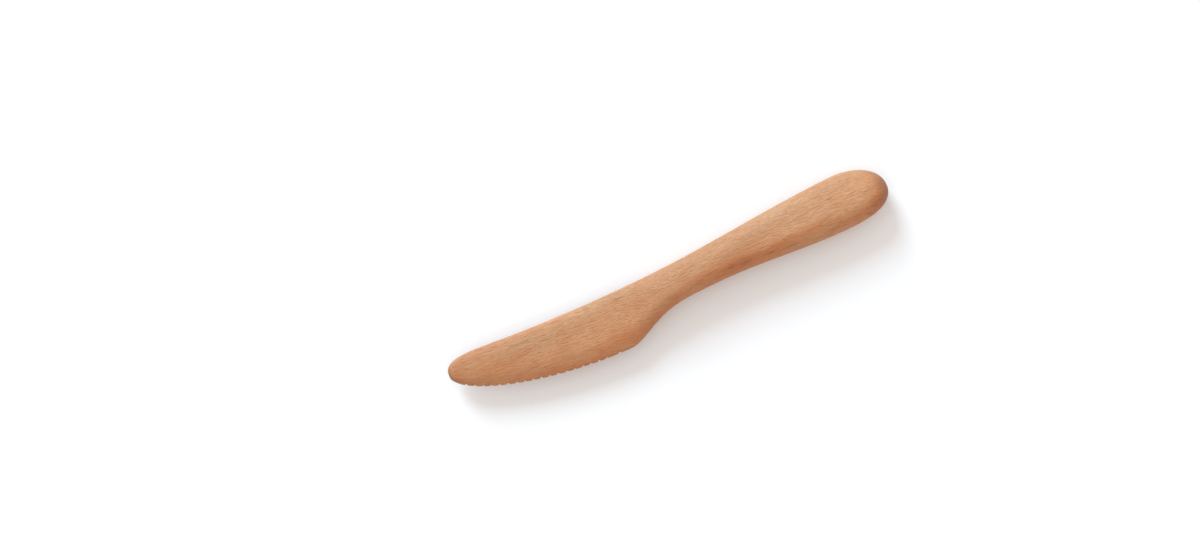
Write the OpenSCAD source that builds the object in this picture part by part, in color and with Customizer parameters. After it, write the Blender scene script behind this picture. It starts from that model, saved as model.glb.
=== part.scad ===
// Butter knife cut from one beech board: a thick blade with a toothed convex edge,
// a narrow neck and an oval handle that swells towards a round butt.
// It lies on its side. +X runs from the tip to the butt, +Y points to the spine and +Z is up.
// The origin is on the table, under the middle of the knife's length and breadth.

/* [Overall] */
// Length from the tip to the butt
overall_l = 200; // [185:1:240]
// Thickness of the board, which the neck and the handle keep
board_t = 14; // [10:0.5:18]

/* [Blade outline] */
// Distance from the tip to the heel, where the blade is deepest
blade_l = 74.5; // [60:0.5:80]
// Drop of the heel below the handle's axis
heel_drop = 16.5; // [13:0.1:20]
// Rise of the spine above the handle's axis, where the tip's rounding ends
spine_rise = 11.6; // [9.5:0.1:15]
// Rise of the tip's foremost point above the handle's axis
tip_rise = 5.7; // [4:0.1:8]
// Length of the rounding between the tip and the spine
tip_l = 20.5; // [12:0.5:26]

/* [Blade section] */
// Thickness of the blade behind the tip
tip_t = 5; // [3:0.1:8]
// Thickness of the blade at the heel
heel_t = 7; // [5:0.1:10]
// Thickness left along the cutting edge
edge_t = 2.2; // [1:0.1:3]
// Length of the rounding of the blade's thickness at the tip
nose_l = 3; // [2:0.1:6]
// Height of the flat strip along the blade's thickest line
blade_flat = 1.2; // [0.6:0.1:1.5]

/* [Teeth] */
// Distance from one nick to the next along the edge
tooth_pitch = 3.5; // [3:0.05:6]
// Width of a nick at the edge
nick_w = 1.8; // [0.6:0.1:2.2]
// Depth of a nick
nick_d = 0.8; // [0.3:0.1:1.4]
// Distance from the tip to the first nick, along the knife
first_nick = 5; // [3.5:0.1:12]
// Length of the last tooth, which is longer than the others
last_tooth = 5.8; // [3:0.1:8]
// Smooth length of edge between the last nick and the heel
smooth_l = 6.5; // [2:0.1:20]

/* [Neck] */
// Distance from the heel to the highest point of the neck's underside
sweep_l = 43.5; // [30:0.5:50]
// Distance from the heel to the lowest point of the spine
spine_low = 19; // [5:1:30]
// Distance from the heel to where the full thickness of the board is reached
taper_l = 25; // [15:1:29]
// Rise of the spine above the handle's axis at its lowest point
neck_rise = 8; // [5:0.1:9]
// Drop of the neck's underside below the handle's axis at its highest point
neck_drop = 7.5; // [5:0.1:9]
// Width of the flat left on the neck's sides
neck_flat = 2.4; // [2:0.1:6]

/* [Handle] */
// Greatest breadth of the handle
handle_h = 23; // [18:0.5:30]
// Width of the flat left on the handle's sides
handle_flat = 3; // [2:0.1:9]
// Length of the round butt
butt_l = 20.5; // [12:0.5:28]
// Drop of the butt's end below the handle's axis
butt_drop = 1.4; // [0:0.1:3]
// Length over which the butt's thickness rounds off
butt_round = 10; // [6:0.5:20]

/* [Hidden] */
// Fullness of the round stretches: 2 is an ellipse, less is more pointed and more is squarer
tip_power = 2.85;
belly_power = 1.66;
butt_power = 2.2;
// Fullness of the blade's face: 1 is a flat wedge and more keeps the thickness further down
bevel_power = 1.7;
// How early the sweep from the heel to the neck rises: 2 is an even S
sweep_skew = 4.5;
// Share of the blade's height from the spine down to the flat along its thickest line
spine_share = 0.6;
// Largest share of the blade's height that the flat takes at the tip
flat_share = 0.06;
// Largest share of the pitch that a nick takes
nick_share = 0.8;
// Share by which a nick's slope is longer on the tip's side and shorter on the heel's
lean_share = 0.25;
// Rings along the tip, the thickening behind the heel, the neck, the handle and the butt
tip_n = 7;
taper_n = 10;
neck_n = 5;
handle_n = 14;
butt_n = 12;
// Steps around the spine's side of the section and around the face below its flat
round_n = 8;
face_n = 8;

// Places along the knife
heel_x = blade_l;
low_x = heel_x + spine_low;
neck_x = heel_x + sweep_l;
full_x = heel_x + taper_l;
swell_x = overall_l - butt_l;
round_x = overall_l - butt_round;
handle_r = handle_h / 2;
belly_d = tip_rise + heel_drop;

// Share of the way from a to b
function way(x, a, b) = min(1, max(0, (x - a) / (b - a)));

// Smooth step from 0 to 1, level at both ends
function ease(u, skew = 2) = 1 - pow(1 - u, skew) * (1 + skew * u);

// Round end: 1 where u is 0, falling square to 0 where u is 1
function round_end(u, power) = pow(max(0, 1 - pow(max(0, u), power)), 1 / power);

// Spine behind the tip: a shallow hollow down to the neck, then a rise to the handle
function spine_y(x) =
    x < low_x
        ? neck_rise + (spine_rise - neck_rise) * pow((low_x - x) / (low_x - tip_l), 2)
        : neck_rise + (handle_r - neck_rise) * ease(way(x, low_x, swell_x));

// Middle of the butt, which leans below the axis
function butt_mid(x) = -butt_drop * pow(way(x, swell_x, overall_l), 2);

function butt_r(x) = handle_r * round_end((x - swell_x) / butt_l, butt_power);

function top_y(x) =
    x < tip_l ? tip_rise + (spine_y(x) - tip_rise) * round_end(1 - x / tip_l, tip_power)
    : x > swell_x ? butt_mid(x) + butt_r(x)
    : spine_y(x);

function bottom_y(x) =
    x < heel_x ? tip_rise - belly_d * round_end(1 - x / heel_x, belly_power)
    : x < neck_x ? -heel_drop + (heel_drop - neck_drop) * ease(way(x, heel_x, neck_x), sweep_skew)
    : x > swell_x ? butt_mid(x) - butt_r(x)
    : -neck_drop - (handle_r - neck_drop) * ease(way(x, neck_x, swell_x));

// Slope of the cutting edge, as an angle below the knife's length
function edge_angle(x) =
    let (u = 1 - x / heel_x)
    atan(belly_d / heel_x * pow(u, belly_power - 1)
        * pow(1 - pow(u, belly_power), 1 / belly_power - 1));

// Half of the thickness
function half_t(x) =
    (x < heel_x ? tip_t + (heel_t - tip_t) * x / heel_x
        : heel_t + (board_t - heel_t) * ease(way(x, heel_x, full_x))) / 2
    * (x < nose_l ? round_end(1 - x / nose_l, 2) : 1)
    * (x > round_x ? round_end((x - round_x) / butt_round, butt_power) : 1);

// Height of the face's flat before it is limited at the tip
function flat_h(x) =
    x < full_x ? blade_flat + (neck_flat - blade_flat) * ease(way(x, heel_x, full_x))
    : (neck_flat + (handle_flat - neck_flat) * ease(way(x, full_x, swell_x)))
        * round_end(way(x, swell_x, overall_l), butt_power);

// Thickness down the blade's face, as a share: s is 0 under the flat and 1 at the edge
function face(s, edge_share, turn) =
    (1 - (1 - edge_share) * pow(s, bevel_power))
    * (s > turn ? sqrt(max(0, 1 - pow((s - turn) / (1 - turn), 2))) : 1);

// Points of one side of the section, from the spine down to the edge
function side(x, lift) =
    let (
        top = top_y(x),
        bottom = bottom_y(x),
        h = top - bottom,
        half = half_t(x),
        to_handle = ease(way(x, heel_x, full_x)),
        flat = min(flat_h(x), x < heel_x ? flat_share * h : h),
        blade_upper = spine_share * h,
        upper = blade_upper + ((h - flat) / 2 - blade_upper) * to_handle,
        lower = h - flat - upper,
        edge_share = min(1, edge_t / 2 / half),
        turn = 1 - min(edge_t / 2, lower / 2) / lower
    )
    concat(
        [for (i = [0:round_n])
            let (a = 90 * i / round_n)
            [x, top - upper * (1 - cos(a)), half * sin(a)]],
        [for (i = [0:face_n])
            let (
                a = 90 * i / face_n,
                s = sin(a),
                blade_z = face(s, edge_share, turn),
                y = bottom + lower * (1 - s)
            )
            [x, max(y, bottom + lift), half * (blade_z + (cos(a) - blade_z) * to_handle)]]
    );

side_n = round_n + face_n + 2;
ring_n = 2 * side_n - 2;

// Closed section: down the upper side and back up the lower one
function ring(x, lift) =
    let (s = side(x, lift))
    concat(s, [for (i = [side_n - 2:-1:1]) [x, s[i].y, -s[i].z]]);

// Nicks follow each other at one pitch along the curved edge, up to the last tooth
last_nick = heel_x - smooth_l;
function nicks_from(x) =
    x > last_nick - last_tooth / 2 - tooth_pitch / 2
        ? [last_nick]
        : concat([x], nicks_from(x + tooth_pitch * cos(edge_angle(x))));

nicks = nicks_from(first_nick);

// Half of a nick's width, and its slopes towards the tip and the heel, measured along the knife
function nick_run(x) = min(nick_w, nick_share * tooth_pitch) / 2 * cos(edge_angle(x));
function tip_side(x) = nick_run(x) * (1 + lean_share);
function heel_side(x) = nick_run(x) * (1 - lean_share);

// Rings of one nick: both shoulders, the bottom and the middle of the tooth behind it
function nick_rings(i) =
    let (
        x = nicks[i],
        next = i + 1 < len(nicks) ? nicks[i + 1] : heel_x,
        lift = nick_d / cos(edge_angle(x))
    )
    [[x - tip_side(x), 0], [x, lift], [x + heel_side(x), 0], [(x + next) / 2, 0]];

tip_end = nicks[0] - tip_side(nicks[0]);

// Each ring is its place along the knife and how far a nick lifts its edge
rings = concat(
    [for (i = [1:tip_n - 1]) [tip_end * (1 - cos(90 * i / tip_n)), 0]],
    [for (i = [0:len(nicks) - 1]) each nick_rings(i)],
    [for (i = [0:taper_n - 1]) [heel_x + taper_l * i / taper_n, 0]],
    [for (i = [0:neck_n - 1]) [full_x + (neck_x - full_x) * i / neck_n, 0]],
    [for (i = [0:handle_n - 1]) [neck_x + (swell_x - neck_x) * i / handle_n, 0]],
    [for (i = [0:butt_n - 1]) [swell_x + butt_l * sin(90 * i / butt_n), 0]]
);

tip_point = [0, tip_rise, 0];
butt_point = [overall_l, -butt_drop, 0];
skin = concat([tip_point], [for (r = rings) each ring(r[0], r[1])], [butt_point]);

function at(j, i) = 1 + j * ring_n + i % ring_n;

last_ring = len(rings) - 1;
facets = concat(
    [for (i = [0:ring_n - 1]) [0, at(0, i), at(0, i + 1)]],
    [for (j = [0:last_ring - 1]) for (i = [0:ring_n - 1]) each [
        [at(j, i), at(j + 1, i + 1), at(j, i + 1)],
        [at(j, i), at(j + 1, i), at(j + 1, i + 1)]
    ]],
    [for (i = [0:ring_n - 1]) [len(skin) - 1, at(last_ring, i + 1), at(last_ring, i)]]
);

heights = [for (p = skin) p.y];
high_y = max(heights);
low_y = min(heights);
// How far the board reaches past the knife all round
board_margin = 5;

// Board that the knife is cut from: its faces stay as the flats on the neck and the handle
module board() {
    translate([-board_margin, low_y - board_margin, -board_t / 2])
        cube([overall_l + 2 * board_margin, high_y - low_y + 2 * board_margin, board_t]);
}

module knife() {
    color([0.80, 0.60, 0.44])
        translate([-overall_l / 2, -(high_y + low_y) / 2, board_t / 2])
            intersection() {
                polyhedron(points = skin, faces = facets, convexity = 6);
                board();
            }
}

knife();
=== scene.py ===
"""Looks of a one-piece beech butter knife: a smooth loft with filed teeth, in oiled steamed beech.

Lengths are in millimetres up to the point where a mesh or a light is made, and MM turns them into metres.
The knife lies on its side: +X runs from the tip to the butt, +Y points to the spine and +Z is up.
"""

import math

import bpy
import numpy as np
from mathutils import Matrix, Vector


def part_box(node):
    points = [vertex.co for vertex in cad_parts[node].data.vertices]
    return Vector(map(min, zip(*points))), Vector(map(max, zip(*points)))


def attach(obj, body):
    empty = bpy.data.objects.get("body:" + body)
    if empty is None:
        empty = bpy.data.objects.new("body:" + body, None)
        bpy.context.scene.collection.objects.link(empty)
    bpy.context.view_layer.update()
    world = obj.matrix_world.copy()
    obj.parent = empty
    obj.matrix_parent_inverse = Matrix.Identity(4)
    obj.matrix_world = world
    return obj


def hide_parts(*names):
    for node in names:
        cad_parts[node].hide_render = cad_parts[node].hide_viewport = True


MM = 0.001

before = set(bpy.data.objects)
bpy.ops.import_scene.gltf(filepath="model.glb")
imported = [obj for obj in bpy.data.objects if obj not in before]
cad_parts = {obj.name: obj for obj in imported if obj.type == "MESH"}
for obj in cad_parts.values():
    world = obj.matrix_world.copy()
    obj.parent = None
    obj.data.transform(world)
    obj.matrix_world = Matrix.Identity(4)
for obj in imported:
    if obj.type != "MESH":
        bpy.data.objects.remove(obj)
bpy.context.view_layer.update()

# Sizes of the knife, as the solid has them
node_low, node_high = (np.array(corner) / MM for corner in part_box("knife"))
OVERALL_L = node_high[0] - node_low[0]
BOARD_T = node_high[2] - node_low[2]
BLADE_L = 74.5
HEEL_DROP = 16.5
SPINE_RISE = 11.6
TIP_RISE = 5.7
TIP_L = 20.5
TIP_T = 5.0
HEEL_T = 7.0
EDGE_T = 2.2
NOSE_L = 3.0
BLADE_FLAT = 1.2
SWEEP_L = 43.5
SPINE_LOW = 19.0
TAPER_L = 25.0
NECK_RISE = 8.0
NECK_DROP = 7.5
NECK_FLAT = 2.4
HANDLE_R = 11.5
HANDLE_FLAT = 3.0
BUTT_L = 20.5
BUTT_DROP = 1.4
BUTT_ROUND = 10.0

# Teeth: nicks at about one pitch, then one longer tooth, each filed a little differently
TOOTH_PITCH = 3.6
NICK_W = 1.8
NICK_D = 0.8
FIRST_NICK = 5.0
LAST_TOOTH = 6.0
SMOOTH_L = 5.5
NICK_SHIFT = 0.18
NICK_VARY = 0.22
NICK_SOFT = 0.12
NICK_POWER = 1.25
NICK_LEAN = 0.25
NICK_SEED = 11

# Fullness of the round stretches, and the shares that limit the section at the tip
TIP_POWER = 2.85
BELLY_POWER = 1.66
BUTT_POWER = 2.2
NOSE_POWER = 2.0
BEVEL_POWER = 1.7
SWEEP_SKEW = 4.5
SPINE_SHARE = 0.6
FLAT_SHARE = 0.06

# Places along the knife
HEEL_X = BLADE_L
LOW_X = HEEL_X + SPINE_LOW
NECK_X = HEEL_X + SWEEP_L
FULL_X = HEEL_X + TAPER_L
SWELL_X = OVERALL_L - BUTT_L
BELLY_D = TIP_RISE + HEEL_DROP

# Fineness of the mesh
TIP_RINGS = 36
EDGE_STEP = 0.14
BODY_STEP = 0.8
BUTT_RINGS = 44
ROUND_STEPS = 20
FLAT_STEPS = 4
FACE_STEPS = 26


def way(x, a, b):
    """Share of the way from a to b."""
    return np.clip((x - a) / (b - a), 0, 1)


def ease(u, skew=2):
    """Smooth step from 0 to 1, level at both ends."""
    return 1 - (1 - u) ** skew * (1 + skew * u)


def round_end(u, power):
    """1 where u is 0, falling square to 0 where u is 1."""
    return np.clip(1 - np.clip(u, 0, 1) ** power, 0, 1) ** (1 / power)


def spine_y(x):
    hollow = NECK_RISE + (SPINE_RISE - NECK_RISE) * ((LOW_X - x) / (LOW_X - TIP_L)) ** 2
    rise = NECK_RISE + (HANDLE_R - NECK_RISE) * ease(way(x, LOW_X, SWELL_X))
    return np.where(x < LOW_X, hollow, rise)


def butt_mid(x):
    return -BUTT_DROP * way(x, SWELL_X, OVERALL_L) ** 2


def butt_r(x):
    return HANDLE_R * round_end(way(x, SWELL_X, OVERALL_L), BUTT_POWER)


def top_y(x):
    tip = TIP_RISE + (spine_y(x) - TIP_RISE) * round_end(1 - x / TIP_L, TIP_POWER)
    return np.select([x < TIP_L, x > SWELL_X], [tip, butt_mid(x) + butt_r(x)], spine_y(x))


def bottom_y(x):
    belly = TIP_RISE - BELLY_D * round_end(1 - x / HEEL_X, BELLY_POWER)
    sweep = -HEEL_DROP + (HEEL_DROP - NECK_DROP) * ease(way(x, HEEL_X, NECK_X), SWEEP_SKEW)
    handle = -NECK_DROP - (HANDLE_R - NECK_DROP) * ease(way(x, NECK_X, SWELL_X))
    butt = butt_mid(x) - butt_r(x)
    return np.select([x < HEEL_X, x < NECK_X, x > SWELL_X], [belly, sweep, butt], handle)


def edge_cosine(x):
    """Cosine of the cutting edge's slope, for steps along the curved edge."""
    step = EDGE_STEP
    slope = (bottom_y(np.array(x + step)) - bottom_y(np.array(x - step))) / (2 * step)
    return float(1 / np.sqrt(1 + slope**2))


def half_t(x):
    blade = TIP_T + (HEEL_T - TIP_T) * x / HEEL_X
    behind = HEEL_T + (BOARD_T - HEEL_T) * ease(way(x, HEEL_X, FULL_X))
    nose = round_end(1 - way(x, 0, NOSE_L), NOSE_POWER)
    butt = round_end(way(x, OVERALL_L - BUTT_ROUND, OVERALL_L), BUTT_POWER)
    return np.where(x < HEEL_X, blade, behind) / 2 * nose * butt


def flat_h(x):
    blade = BLADE_FLAT + (NECK_FLAT - BLADE_FLAT) * ease(way(x, HEEL_X, FULL_X))
    handle = NECK_FLAT + (HANDLE_FLAT - NECK_FLAT) * ease(way(x, FULL_X, SWELL_X))
    butt = round_end(way(x, SWELL_X, OVERALL_L), BUTT_POWER)
    return np.where(x < FULL_X, blade, handle * butt)


def nick_places():
    """Where the nicks stand along the knife."""
    last = HEEL_X - SMOOTH_L
    places = [FIRST_NICK]
    while places[-1] <= last - LAST_TOOTH / 2 - TOOTH_PITCH / 2:
        places.append(places[-1] + TOOTH_PITCH * edge_cosine(places[-1]))
    return places[:-1] + [last]


def nick_lift(x):
    """How far the nicks lift the edge: filed by hand, so no two are quite alike."""
    rng = np.random.default_rng(NICK_SEED)
    lift = np.zeros_like(x)
    for place in nick_places():
        vary = 1 + NICK_VARY * rng.uniform(-1, 1, 2)
        cosine = edge_cosine(place)
        centre = place + NICK_SHIFT * rng.uniform(-1, 1)
        lean = 1 - NICK_LEAN * np.sign(x - centre)
        reach = np.clip(1 - np.abs(x - centre) / (NICK_W / 2 * vary[0] * cosine * lean), 0, 1)
        lift = np.maximum(lift, NICK_D * vary[1] / cosine * reach**NICK_POWER)
    return lift


def stations():
    """Places of the rings along the knife, close together over the teeth."""
    tip_end = FIRST_NICK - NICK_W
    tip = tip_end * (1 - np.cos(np.linspace(0, math.pi / 2, TIP_RINGS + 1)))[1:-1]
    edge = np.arange(tip_end, HEEL_X, EDGE_STEP)
    body = np.arange(HEEL_X, SWELL_X, BODY_STEP)
    butt = SWELL_X + BUTT_L * np.sin(np.linspace(0, math.pi / 2, BUTT_RINGS + 1))[:-1]
    return np.concatenate([tip, edge, body, butt])


def side_points(x):
    """Heights and half thicknesses of one side of every section, from the spine down to the edge."""
    x = x[:, None]
    top, bottom, half = top_y(x), bottom_y(x), half_t(x)
    height = top - bottom
    to_handle = ease(way(x, HEEL_X, FULL_X))
    flat = np.minimum(flat_h(x), np.where(x < HEEL_X, FLAT_SHARE * height, height))
    blade_upper = SPINE_SHARE * height
    upper = blade_upper + ((height - flat) / 2 - blade_upper) * to_handle
    lower = height - flat - upper

    a = np.linspace(0, math.pi / 2, ROUND_STEPS + 1)[None]
    round_y, round_z = top - upper * (1 - np.cos(a)), half * np.sin(a)

    f = np.linspace(0, 1, FLAT_STEPS + 1)[None, 1:-1]
    flat_y, flat_z = top - upper - flat * f, half + 0 * f

    a = np.linspace(0, math.pi / 2, FACE_STEPS + 1)[None]
    s = np.sin(a)
    edge_share = np.minimum(1, EDGE_T / 2 / half)
    turn = 1 - np.minimum(EDGE_T / 2, lower / 2) / lower
    blunt = np.sqrt(np.clip(1 - (np.clip(s - turn, 0, 1) / (1 - turn)) ** 2, 0, 1))
    blade_z = (1 - (1 - edge_share) * s**BEVEL_POWER) * blunt
    face_y = bottom + lower * (1 - s)
    face_z = half * (blade_z + (np.cos(a) - blade_z) * to_handle)

    lift = nick_lift(x)
    cut = bottom + lift
    soft = NICK_SOFT * np.clip(lift / NICK_D, 0, 1)
    face_y = (face_y + cut + np.sqrt((face_y - cut) ** 2 + soft**2)) / 2
    return np.hstack([round_y, flat_y, face_y]), np.hstack([round_z, flat_z, face_z])


def loft_knife():
    """The whole knife as one closed mesh, in the row frame."""
    x = stations()
    y, z = side_points(x)
    ring_y = np.hstack([y, y[:, -2:0:-1]])
    ring_z = np.hstack([z, -z[:, -2:0:-1]])
    rings, around = ring_y.shape
    skin = np.stack([np.repeat(x[:, None], around, 1), ring_y, ring_z], 2).reshape(-1, 3)
    points = np.vstack([skin, [0, TIP_RISE, 0], [OVERALL_L, -BUTT_DROP, 0]])
    points[:, 0] -= OVERALL_L / 2
    points[:, 1] -= (points[:, 1].max() + points[:, 1].min()) / 2
    points[:, 2] += BOARD_T / 2

    def at(j, i):
        return j * around + i % around

    tip, butt = rings * around, rings * around + 1
    faces = [(tip, at(0, i + 1), at(0, i)) for i in range(around)]
    faces += [(at(j, i), at(j, i + 1), at(j + 1, i + 1), at(j + 1, i))
              for j in range(rings - 1) for i in range(around)]
    faces += [(butt, at(rings - 1, i), at(rings - 1, i + 1)) for i in range(around)]

    mesh = bpy.data.meshes.new("beech_knife")
    mesh.from_pydata((points * MM).tolist(), [], faces)
    mesh.polygons.foreach_set("use_smooth", [True] * len(mesh.polygons))
    mesh.validate()
    knife = bpy.data.objects.new("beech_knife", mesh)
    bpy.context.collection.objects.link(knife)
    return knife


# Beech: colours are linear, and lengths of the figure are in millimetres
FLECK_ANGLE = math.radians(6.5)
BAND_ANGLE = math.radians(-4.0)
# Painted light and painted shade: paler towards the spine, where the key falls, and redder towards the
# edge, which lies in shade
BEECH_SPINE_PAINTED_LIGHT = (0.452, 0.250, 0.130)
BEECH_EDGE_PAINTED_SHADE = (0.530, 0.220, 0.090)
# Paler beech of the growth bands and the wood's pale zones; two of its patches are painted light
BEECH_PALE_AND_PAINTED_LIGHT = (0.575, 0.326, 0.177)
BEECH_TAN = (0.420, 0.268, 0.150)
# Rosy beech of the wood's own streaks and the tip; its patches at the butt's lower end and on the lower
# side are painted shade
BEECH_ROSE_AND_PAINTED_SHADE = (0.445, 0.158, 0.060)
BEECH_ORANGE = (0.490, 0.206, 0.083)
# Redder beech on the lower side: painted shade on the lower rounding, partly the wood's own redder zones
BEECH_RED_AND_PAINTED_SHADE = (0.525, 0.190, 0.074)
# Deeper beech: painted shade along the top rim of the neck and the handle, where the key falls, and the
# darker end at the tip
BEECH_DEEP_AND_PAINTED_SHADE = (0.400, 0.195, 0.092)
FLECK = (0.320, 0.092, 0.018)
STREAK = (0.245, 0.078, 0.027)
END_GRAIN = (0.310, 0.135, 0.062)
# Half of the breadth over which the colour turns from the painted shade at the edge side to the painted
# light at the spine side
PAINTED_LIGHT_REACH = 10.0
# Sway of the figure: wavelengths along it, across it and into the board, and how far it goes
GRAIN_SWAY = ((30, 6, 8), 0.35)
RING_SWAY = ((50, 12, 14), 1.6)
# Noise stays within about a quarter either side of a half, and this makes that a whole
SWAY_GAIN = 4
# Noise patterns: wavelengths as above, shift, detail and roughness
BAND_NOISE = ((80, 5.5, 8), (3, 1, 7), 2.0, 0.5)
ROSY_NOISE = ((45, 7, 11), (11, 5, 2), 1.0, 0.5)
FIBRE_NOISE = ((8, 0.36, 0.36), (0, 0, 0), 2.0, 0.6)
FINE_NOISE = ((2.0, 0.22, 0.22), (4, 2, 6), 1.0, 0.5)
LINE_NOISE = ((16, 0.32, 0.32), (8, 1, 5), 1.0, 0.5)
DENT_NOISE = ((2.6, 0.5, 0.5), (6, 3, 9), 1.0, 0.5)
PORE_NOISE = ((1.6, 0.16, 0.16), (1, 6, 3), 1.0, 0.5)
# Ramps: two values of the pattern, and what they are turned into
BAND_COVER = (0.45, 0.70, 0.0, 0.5)
ROSY_COVER = (0.45, 0.70, 0.0, 0.4)
FIBRE_SHADE = (0.30, 0.70, 0.97, 1.03)
FINE_SHADE = (0.28, 0.72, 0.94, 1.06)
LINE_COVER = (0.52, 0.68, 0.0, 0.26)
MARK_COVER = (0.35, 0.60, 0.5, 1.0)
END_COVER = (0.2, 0.85, 0.0, 0.85)
FIBRE_ROUGHNESS = (0.30, 0.70, 0.62, 0.50)
PORE_DEPTH = (0.60, 0.72, 0.0, 0.5)
DENT_DEPTH = (0.50, 0.72, 0.0, 1.3)
RAY_DEPTH = 0.8
BUMP_STRENGTH = 0.7
BUMP_HEIGHT = 0.12
BEECH_SPECULAR = 0.35
# Layers of ray flecks: length, breadth and depth of a cell, shift, share of the cells and strength
RAYS = (
    ((7.0, 0.30, 9.0), (5, 9, 1), 0.60, 0.50),
    ((4.0, 0.26, 8.0), (2, 4, 8), 0.60, 0.50),
    ((12.0, 0.34, 9.0), (7, 3, 4), 0.35, 0.44),
)
# A fleck is dark up to the first share of its cell and ends at the second
RAY_RIM = (0.22, 0.42)
# Share of the chosen flecks that are at full strength
RAY_FULL = 1 / 3
# Two places along the knife, and the strength of the flecks up to the first and past the second
RAY_FADE = (8.0, 45.0, 1.0, 0.88)
# Single dark marks on the upper side: place, angle in degrees, half length, half width and strength
MARKS = (
    (-79.0, 5.2, -3, 2.6, 0.30, 0.60),
    (-69.0, 3.4, -2, 4.2, 0.28, 0.50),
    (-66.0, -3.7, 1, 4.6, 0.30, 0.65),
    (-49.6, 5.6, -3, 2.4, 0.30, 0.70),
    (-48.3, -9.6, 2, 3.4, 0.32, 0.70),
    (-22.2, 7.0, 0, 3.4, 0.42, 1.00),
    (-5.5, 2.8, 0, 3.2, 0.28, 0.60),
    (8.0, 5.1, 12, 6.5, 0.55, 0.30),
    (16.5, -0.2, -8, 3.6, 0.30, 0.70),
    (26.5, -1.6, -3, 2.6, 0.32, 0.90),
    (33.0, -2.5, -3, 3.6, 0.32, 0.80),
    (44.3, -3.5, -2, 2.8, 0.36, 1.00),
    (45.8, -1.2, -10, 1.4, 0.30, 0.60),
    (51.2, -0.8, -30, 1.4, 0.30, 0.60),
    (54.0, -4.7, -4, 5.0, 0.34, 0.90),
    (65.2, -6.8, 0, 2.6, 0.32, 0.75),
    (66.0, 5.4, 5.6, 16.0, 0.70, 0.36),
    (66.1, 3.0, 8, 1.4, 0.28, 0.60),
    (71.0, -0.7, 13, 9.0, 0.42, 0.45),
    (72.0, -6.2, 3, 3.6, 0.32, 0.80),
    (75.4, 6.1, 0, 2.0, 0.34, 0.90),
    (85.5, 4.2, 0, 2.4, 0.32, 0.60),
    (88.0, -7.0, -14, 2.6, 0.32, 0.80),
    (91.5, -4.8, -16, 2.8, 0.32, 0.80),
    (93.2, -1.3, -14, 1.8, 0.32, 0.80),
    (94.5, -3.6, -14, 2.0, 0.32, 0.80),
)
# A mark or patch is full up to the first share of its half lengths and ends at the second
SPOT_RIM = (0.1, 1.1)
# Broad soft patches of other colours on the upper side, given in the same way; some are painted light and
# some painted shade, as marked
PATCHES = (
    # Pale zones of the wood, except two patches of painted light: the band along the blade's spine at
    # (-36, 9) and the neck's ramp at (0, 2.2)
    (BEECH_PALE_AND_PAINTED_LIGHT, ((64.0, 3.5, 3, 33.0, 5.8, 1.00), (80.0, -1.5, 3, 17.0, 4.5, 0.60),
                  (88.0, 3.0, 0, 10.0, 6.0, 0.60), (-36.0, 9.0, -3, 32.0, 4.5, 0.62),
                  (60.0, -4.8, -4, 22.0, 3.2, 0.45), (0.0, 2.2, 4, 18.0, 4.0, 0.55),
                  (19.0, 4.5, 6, 15.0, 2.6, 0.45), (-46.0, -9.0, -12, 12.0, 3.0, 0.50),
                  (-58.0, 0.5, 0, 12.0, 4.0, 0.40), (-29.0, -12.5, -8, 10.0, 2.5, 0.45))),
    (BEECH_TAN, ((52.0, 8.8, 4, 30.0, 4.2, 0.55), (-28.0, 9.2, -3, 24.0, 3.6, 0.45))),
    # Painted shade on the lower side of the neck, the heel and the blade, partly the wood's own redder
    # zones
    (BEECH_RED_AND_PAINTED_SHADE, ((26.0, -2.5, -2, 30.0, 5.0, 0.80), (50.0, -2.5, 0, 11.0, 4.0, 0.50),
                 (-68.0, -6.0, -18, 11.0, 3.5, 0.40), (-5.0, -6.5, 20, 14.0, 4.5, 0.90))),
    # The tip's rosy end is the wood's own; the butt's lower end at (94, -7) and the lower side at (30,
    # -1) and (-27, -6) are painted shade, partly the wood's own redder zones
    (BEECH_ROSE_AND_PAINTED_SHADE, ((-98.5, 5.0, 70, 11.0, 7.5, 0.80), (30.0, -1.0, -2, 12.0, 4.0, 0.75),
                  (94.0, -7.0, 45, 13.0, 6.5, 1.00), (-27.0, -6.0, -6, 14.0, 4.5, 0.25))),
    (BEECH_ORANGE, ((-82.0, 1.0, -12, 24.0, 13.0, 0.80), (-38.0, 0.5, -6, 34.0, 9.0, 0.20))),
    # Painted shade along the top rim of the neck and the handle; the darker tip end is the wood's own
    (BEECH_DEEP_AND_PAINTED_SHADE, ((14.0, 9.0, 3, 34.0, 4.0, 0.75), (80.0, 10.5, 0, 12.0, 4.0, 0.45),
                  (-97.0, 10.0, 40, 9.0, 5.5, 0.50))),
)


def add(tree, kind, inputs=None, **settings):
    """A node with its settings, and its inputs set to values or linked to sockets."""
    made = tree.nodes.new(kind)
    for name, value in settings.items():
        setattr(made, name, value)
    for name, value in (inputs or {}).items():
        if isinstance(value, bpy.types.NodeSocket):
            tree.links.new(value, made.inputs[name])
        else:
            made.inputs[name].default_value = value
    return made


def stretched_noise(tree, coords, wave, shift=(0, 0, 0), detail=1.0, roughness=0.5):
    """Noise whose features are about wave millimetres along, across and into the figure."""
    scale = tuple(1 / length for length in wave)
    mapped = add(tree, "ShaderNodeMapping", {"Vector": coords, "Scale": scale, "Location": shift})
    noise = add(tree, "ShaderNodeTexNoise", {
        "Vector": mapped.outputs["Vector"], "Scale": 1.0, "Detail": detail, "Roughness": roughness})
    return noise.outputs["Fac"]


def ramp(tree, value, low, high, start=0.0, end=1.0):
    """Smooth ramp from start at low to end at high."""
    made = add(tree, "ShaderNodeMapRange", {
        "Value": value, "From Min": low, "From Max": high, "To Min": start, "To Max": end},
        interpolation_type="SMOOTHSTEP")
    return made.outputs["Result"]


def math_node(tree, operation, a, b):
    made = add(tree, "ShaderNodeMath", {0: a, 1: b}, operation=operation)
    return made.outputs["Value"]


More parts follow.
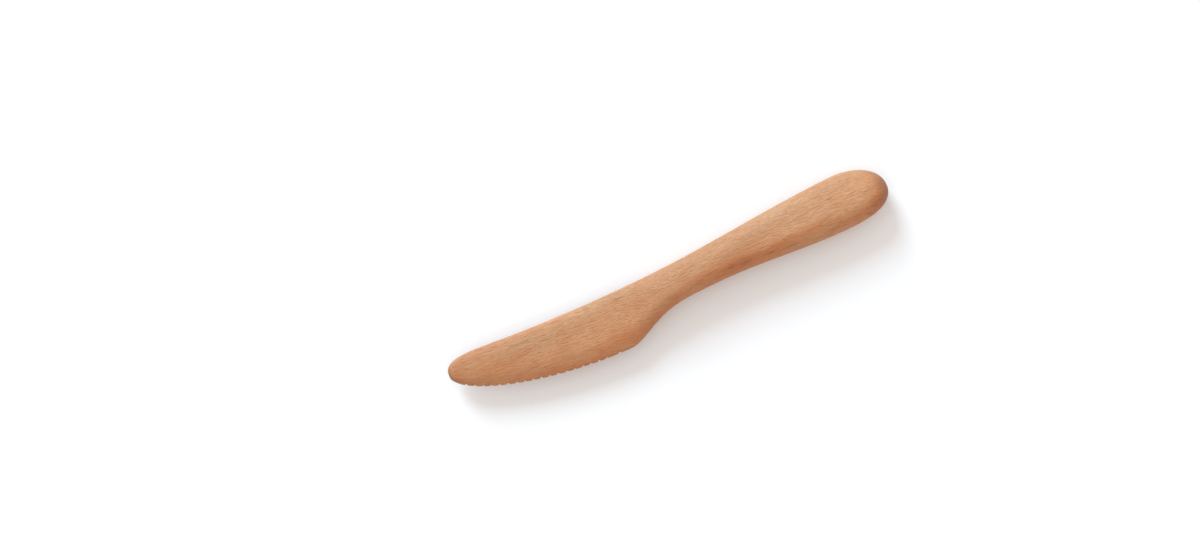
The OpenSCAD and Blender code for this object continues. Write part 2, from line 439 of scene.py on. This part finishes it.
# Sockets of a mix node that mixes colours
MIX_FACTOR, MIX_A, MIX_B, MIX_RESULT = 0, 6, 7, 2


def mix_colour(tree, factor, a, b, blend="MIX"):
    """Colour a, covered by b as far as the factor says."""
    made = tree.nodes.new("ShaderNodeMix")
    made.data_type = "RGBA"
    made.blend_type = blend
    for index, value in ((MIX_FACTOR, factor), (MIX_A, a), (MIX_B, b)):
        if isinstance(value, bpy.types.NodeSocket):
            tree.links.new(value, made.inputs[index])
        elif index == MIX_FACTOR:
            made.inputs[index].default_value = value
        else:
            made.inputs[index].default_value = (*value, 1.0)
    return made.outputs[MIX_RESULT]


def turned(tree, place, angle):
    """Coordinates in millimetres whose first axis follows the wood's figure at an angle to the knife."""
    return add(tree, "ShaderNodeMapping", {
        "Vector": place, "Scale": (1 / MM,) * 3, "Rotation": (0, 0, angle)}).outputs["Vector"]


def wandering(tree, coords, wave, reach):
    """The same coordinates, swaying across the figure by up to about reach millimetres."""
    sway = math_node(tree, "SUBTRACT", stretched_noise(tree, coords, wave), 0.5)
    sway = add(tree, "ShaderNodeCombineXYZ", {"Y": math_node(tree, "MULTIPLY", sway, SWAY_GAIN * reach)})
    return add(tree, "ShaderNodeVectorMath", {
        0: coords, 1: sway.outputs["Vector"]}, operation="ADD").outputs["Vector"]


def patches(tree, place, spots):
    """Mask of single spots on the upper side, which fade out inside the board."""
    total = 0.0
    for x, y, angle, length, width, strength in spots:
        offset = add(tree, "ShaderNodeMapping", {
            "Vector": place, "Location": (x * MM, y * MM, BOARD_T * MM),
            "Rotation": (0, 0, math.radians(angle)),
            "Scale": (length * MM, width * MM, BOARD_T * MM)}, vector_type="TEXTURE").outputs["Vector"]
        distance = add(tree, "ShaderNodeVectorMath", {0: offset}, operation="LENGTH").outputs["Value"]
        total = math_node(tree, "ADD", total, ramp(tree, distance, *SPOT_RIM, strength, 0.0))
    return total


def ray_flecks(tree, coords, cell, shift, chosen):
    """Spindle-shaped ends of the wood's rays: one to a cell, in the chosen share of the cells."""
    mapped = add(tree, "ShaderNodeMapping", {
        "Vector": coords, "Scale": tuple(1 / length for length in cell), "Location": shift})
    cells = add(tree, "ShaderNodeTexVoronoi", {"Vector": mapped.outputs["Vector"], "Scale": 1.0})
    chance = add(tree, "ShaderNodeSeparateColor", {"Color": cells.outputs["Color"]}).outputs["Red"]
    depth = ramp(tree, chance, 1 - chosen, 1 - chosen * RAY_FULL)
    return math_node(tree, "MULTIPLY", depth, ramp(tree, cells.outputs["Distance"], *RAY_RIM, 1.0, 0.0))


def beech_material():
    """Oiled steamed beech: short dark ray flecks, soft growth bands, fine fibre and darker end grain,
    with painted light towards the spine and painted shade towards the edge, along the top rim and at the
    butt's lower end.
    """
    material = bpy.data.materials.new("oiled_beech")
    material.use_nodes = True
    tree = material.node_tree
    shader = tree.nodes["Principled BSDF"]

    place = add(tree, "ShaderNodeTexCoord").outputs["Object"]
    grain = wandering(tree, turned(tree, place, FLECK_ANGLE), *GRAIN_SWAY)
    rings = wandering(tree, turned(tree, place, BAND_ANGLE), *RING_SWAY)

    bands = stretched_noise(tree, rings, *BAND_NOISE)
    rosy = stretched_noise(tree, rings, *ROSY_NOISE)
    fibre = stretched_noise(tree, grain, *FIBRE_NOISE)
    fine = stretched_noise(tree, grain, *FINE_NOISE)
    lines = stretched_noise(tree, grain, *LINE_NOISE)
    dents = stretched_noise(tree, grain, *DENT_NOISE)
    pores = stretched_noise(tree, grain, *PORE_NOISE)
    rays = 0.0
    for cell, shift, chosen, strength in RAYS:
        layer = math_node(tree, "MULTIPLY", ray_flecks(tree, grain, cell, shift, chosen), strength)
        rays = math_node(tree, "MAXIMUM", rays, layer)
    along = add(tree, "ShaderNodeSeparateXYZ", {"Vector": grain}).outputs["X"]
    rays = math_node(tree, "MULTIPLY", rays, ramp(tree, along, *RAY_FADE))
    rays = math_node(tree, "MAXIMUM", rays, ramp(tree, lines, *LINE_COVER))

    # Painted light and painted shade: redder towards the edge, paler towards the spine
    height = add(tree, "ShaderNodeSeparateXYZ", {"Vector": rings}).outputs["Y"]
    colour = mix_colour(tree, ramp(tree, height, -PAINTED_LIGHT_REACH, PAINTED_LIGHT_REACH), BEECH_EDGE_PAINTED_SHADE, BEECH_SPINE_PAINTED_LIGHT)
    colour = mix_colour(tree, ramp(tree, bands, *BAND_COVER), colour, BEECH_PALE_AND_PAINTED_LIGHT)
    colour = mix_colour(tree, ramp(tree, rosy, *ROSY_COVER), colour, BEECH_ROSE_AND_PAINTED_SHADE)
    # Patches of the wood's own colour zones, and patches of painted light and painted shade
    for patch_colour, spots in PATCHES:
        colour = mix_colour(tree, patches(tree, place, spots), colour, patch_colour)
    shade = math_node(tree, "MULTIPLY", ramp(tree, fibre, *FIBRE_SHADE), ramp(tree, fine, *FINE_SHADE))
    grey = add(tree, "ShaderNodeCombineColor", {"Red": shade, "Green": shade, "Blue": shade})
    colour = mix_colour(tree, 1.0, colour, grey.outputs["Color"], "MULTIPLY")
    colour = mix_colour(tree, rays, colour, FLECK)
    broken = math_node(tree, "MULTIPLY", patches(tree, place, MARKS), ramp(tree, fine, *MARK_COVER))
    colour = mix_colour(tree, broken, colour, STREAK)

    facing = add(tree, "ShaderNodeVectorMath", {
        0: add(tree, "ShaderNodeNewGeometry").outputs["Normal"],
        1: (math.cos(FLECK_ANGLE), -math.sin(FLECK_ANGLE), 0)}, operation="DOT_PRODUCT")
    end = ramp(tree, math_node(tree, "ABSOLUTE", facing.outputs["Value"], 0), *END_COVER)
    colour = mix_colour(tree, end, colour, END_GRAIN)
    tree.links.new(colour, shader.inputs["Base Color"])

    tree.links.new(ramp(tree, fibre, *FIBRE_ROUGHNESS), shader.inputs["Roughness"])
    shader.inputs["Specular IOR Level"].default_value = BEECH_SPECULAR

    relief = math_node(tree, "SUBTRACT", fibre, math_node(tree, "MULTIPLY", rays, RAY_DEPTH))
    relief = math_node(tree, "SUBTRACT", relief, ramp(tree, pores, *PORE_DEPTH))
    relief = math_node(tree, "SUBTRACT", relief, ramp(tree, dents, *DENT_DEPTH))
    bump = add(tree, "ShaderNodeBump", {
        "Height": relief, "Strength": BUMP_STRENGTH, "Distance": BUMP_HEIGHT * MM})
    tree.links.new(bump.outputs["Normal"], shader.inputs["Normal"])
    return material


# Photograph: where the frame's origin lands, the knife's slant and its scale
PHOTO_W, PHOTO_H = 1200, 547
ORIGIN_PX = (671.6, 288.8)
PX_PER_MM = 2.3707
SLANT = math.radians(26.17)
LEAN = math.radians(5)
LENS, SENSOR = 85.0, 36.0


def make_camera():
    """Camera over the blade's side, leaning a little towards the spine and turned to the slant."""
    right = Vector((math.cos(SLANT), -math.sin(SLANT), 0))
    level_up = Vector((math.sin(SLANT), math.cos(SLANT), 0))
    back = math.cos(LEAN) * Vector((0, 0, 1)) + math.sin(LEAN) * level_up
    up = back.cross(right)
    px = MM / PX_PER_MM
    sideways = (PHOTO_W / 2 - ORIGIN_PX[0]) * px
    upwards = (ORIGIN_PX[1] - PHOTO_H / 2) * px
    middle = right * sideways + up * upwards
    data = bpy.data.cameras.new("camera")
    data.lens, data.sensor_width = LENS, SENSOR
    camera = bpy.data.objects.new("camera", data)
    turn = Matrix((right, up, back)).transposed().to_4x4()
    distance = PHOTO_W * px * LENS / SENSOR
    camera.matrix_world = Matrix.Translation(middle + back * distance) @ turn
    bpy.context.collection.objects.link(camera)
    bpy.context.scene.camera = camera


# Light: a cool soft key from the spine's side and a warm dome with a white horizon
KEY_TILT = math.radians(66)
KEY_TURN = math.radians(4)
KEY_ON_FLAT = (0.310, 0.362, 0.404)
KEY_SPREAD = math.radians(28)
DOME_LIT = (0.985, 0.905, 0.84)
DOME_SHADE = (0.73, 0.66, 0.605)
HORIZON = (1.0, 1.0, 1.0)
HORIZON_TOP = 0.16
FLOOR_WHITE = (0.915, 0.957, 1.0)
FLOOR_ROUGHNESS = 0.9
FLOOR_SIDE = 6000.0


def make_light():
    """A sun for the key, and a world that is the dome."""
    data = bpy.data.lights.new("key", "SUN")
    strongest = max(KEY_ON_FLAT)
    data.color = tuple(part / strongest for part in KEY_ON_FLAT)
    data.energy = math.pi * strongest / math.cos(KEY_TILT)
    data.angle = KEY_SPREAD
    key = bpy.data.objects.new("key", data)
    towards = Vector((-math.sin(KEY_TURN), math.cos(KEY_TURN), 0))
    to_light = math.cos(KEY_TILT) * Vector((0, 0, 1)) + math.sin(KEY_TILT) * towards
    key.rotation_mode = "QUATERNION"
    key.rotation_quaternion = to_light.to_track_quat("Z", "Y")
    bpy.context.collection.objects.link(key)

    world = bpy.data.worlds.new("studio")
    bpy.context.scene.world = world
    world.use_nodes = True
    tree = world.node_tree
    direction = add(tree, "ShaderNodeTexCoord").outputs["Generated"]
    height = add(tree, "ShaderNodeSeparateXYZ", {"Vector": direction}).outputs["Z"]
    across = add(tree, "ShaderNodeVectorMath", {0: direction, 1: towards}, operation="DOT_PRODUCT")
    dome = mix_colour(tree, ramp(tree, across.outputs["Value"], -1.0, 1.0), DOME_SHADE, DOME_LIT)
    sky = mix_colour(tree, ramp(tree, height, 0.0, HORIZON_TOP), HORIZON, dome)
    tree.links.new(sky, tree.nodes["Background"].inputs["Color"])


def make_floor():
    """Plain pale floor that the knife lies on."""
    mesh = bpy.data.meshes.new("floor")
    half = FLOOR_SIDE / 2 * MM
    corners = [(-half, -half, 0), (half, -half, 0), (half, half, 0), (-half, half, 0)]
    mesh.from_pydata(corners, [], [(0, 1, 2, 3)])
    floor = bpy.data.objects.new("floor", mesh)
    bpy.context.collection.objects.link(floor)
    material = bpy.data.materials.new("pale_floor")
    material.use_nodes = True
    shader = material.node_tree.nodes["Principled BSDF"]
    shader.inputs["Base Color"].default_value = (*FLOOR_WHITE, 1)
    shader.inputs["Roughness"].default_value = FLOOR_ROUGHNESS
    shader.inputs["Specular IOR Level"].default_value = 0.0
    mesh.materials.append(material)


make_camera()
make_light()
make_floor()
bpy.context.scene.view_settings.view_transform = "Standard"

knife = loft_knife()
knife.data.materials.append(beech_material())
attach(knife, "root")
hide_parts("knife")
